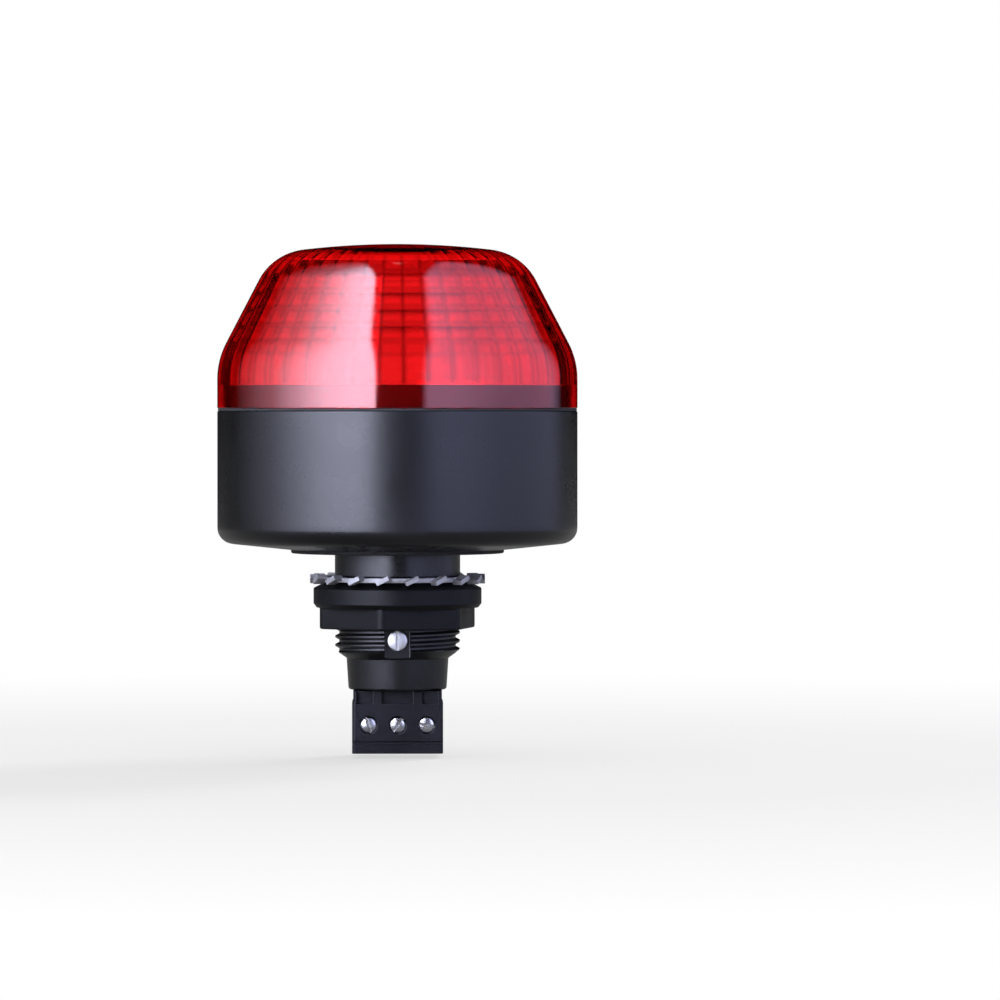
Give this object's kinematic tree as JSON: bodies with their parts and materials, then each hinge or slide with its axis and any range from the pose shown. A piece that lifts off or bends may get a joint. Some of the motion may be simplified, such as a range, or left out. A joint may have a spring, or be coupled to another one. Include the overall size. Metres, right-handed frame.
{
  "type": "panel pilot light",
  "caption": "Round panel pilot light with a red prismatic lens, black housing, threaded stem, flange nut, toothed washer and plug-in screw terminal.",
  "frame": {"origin": "on the stem's axis at the panel face, under the gasket", "axes": "+Z out of the panel through the lens; -Y towards the side with the terminal screws"},
  "size_m": [0.0632, 0.0632, 0.0891],
  "materials": {
    "lens": "clear red polycarbonate, polished outside, prisms inside",
    "rubber": "black sealing rubber, matt",
    "housing": "black polycarbonate, fine satin texture",
    "washer_steel": "stamped spring steel, bright zinc",
    "nut": "black glass-filled nylon, satin",
    "carrier": "black nylon",
    "screw_steel": "nickel-plated steel",
    "plug": "blue-black nylon, satin",
    "green_board": "green circuit board",
    "white_board": "white circuit board",
    "capacitor": "dark blue sleeve with an aluminium top",
    "choke": "wound copper on a dark core",
    "chip": "black moulding compound",
    "varistor": "blue epoxy",
    "contact_metal": "tinned brass",
    "cage_steel": "zinc-plated steel",
    "spacer_brass": "turned brass",
    "led": "clear dome on a pale ceramic body"
  },
  "bodies": {
    "housing": {"lens": "lens", "lens_seal": "rubber", "housing": "housing", "panel_gasket": "rubber", "contact_carrier": "carrier", "carrier_screw": "screw_steel", "driver_board": "green_board", "led_board": "white_board", "board_link": "carrier", "capacitor": "capacitor", "choke": "choke", "rectifier": "chip", "varistor": "varistor", "driver_chip": "chip", "contact_pin_1": "contact_metal", "spacer_1": "spacer_brass", "led_board_screw_1": "screw_steel", "contact_pin_2": "contact_metal", "spacer_2": "spacer_brass", "led_board_screw_2": "screw_steel", "contact_pin_3": "contact_metal", "spacer_3": "spacer_brass", "led_board_screw_3": "screw_steel", "led_1": "led", "led_2": "led", "led_3": "led", "led_4": "led", "led_5": "led", "led_6": "led", "led_7": "led", "led_8": "led", "led_9": "led", "led_10": "led", "led_11": "led", "led_12": "led"},
    "washer": {"lock_washer": "washer_steel"},
    "nut": {"mounting_nut": "nut"},
    "plug": {"terminal_plug": "plug", "plug_contact_1": "contact_metal", "plug_contact_2": "contact_metal", "plug_contact_3": "contact_metal"},
    "screw_1": {"terminal_screw_1": "screw_steel"},
    "cage_1": {"clamp_cage_1": "cage_steel"},
    "screw_2": {"terminal_screw_2": "screw_steel"},
    "cage_2": {"clamp_cage_2": "cage_steel"},
    "screw_3": {"terminal_screw_3": "screw_steel"},
    "cage_3": {"clamp_cage_3": "cage_steel"}
  },
  "joints": [
    {"name": "washer_slide", "type": "slide", "parent": "housing", "child": "washer", "axis": [0, 0, -1], "range_m": [-0.003, 0.012]},
    {"name": "nut_turn", "type": "hinge", "parent": "washer", "child": "nut", "pos_m": [0, 0, -0.009], "axis": [0, 0, -1], "range_deg": [-720, 2880]},
    {"name": "plug_pull", "type": "slide", "parent": "housing", "child": "plug", "axis": [0, 0, -1], "range_m": [0, 0.012]},
    {"name": "terminal_screw_1_turn", "type": "hinge", "parent": "plug", "child": "screw_1", "pos_m": [-0.00508, -0.005, -0.02995], "axis": [0, 1, 0], "range_deg": [0, 1680]},
    {"name": "clamp_cage_1_slide", "type": "slide", "parent": "plug", "child": "cage_1", "axis": [0, -1, 0], "range_m": [0, 0.0021]},
    {"name": "terminal_screw_2_turn", "type": "hinge", "parent": "plug", "child": "screw_2", "pos_m": [0, -0.005, -0.02995], "axis": [0, 1, 0], "range_deg": [0, 1680]},
    {"name": "clamp_cage_2_slide", "type": "slide", "parent": "plug", "child": "cage_2", "axis": [0, -1, 0], "range_m": [0, 0.0021]},
    {"name": "terminal_screw_3_turn", "type": "hinge", "parent": "plug", "child": "screw_3", "pos_m": [0.00508, -0.005, -0.02995], "axis": [0, 1, 0], "range_deg": [0, 1680]},
    {"name": "clamp_cage_3_slide", "type": "slide", "parent": "plug", "child": "cage_3", "axis": [0, -1, 0], "range_m": [0, 0.0021]}
  ],
  "couplings": [
    {"joint": "washer_slide", "follows": "nut_turn", "m_per_rad": 0.00023873},
    {"joint": "terminal_screw_1_turn", "follows": "clamp_cage_1_slide", "rad_per_m": 13963},
    {"joint": "terminal_screw_2_turn", "follows": "clamp_cage_2_slide", "rad_per_m": 13963},
    {"joint": "terminal_screw_3_turn", "follows": "clamp_cage_3_slide", "rad_per_m": 13963}
  ]
}
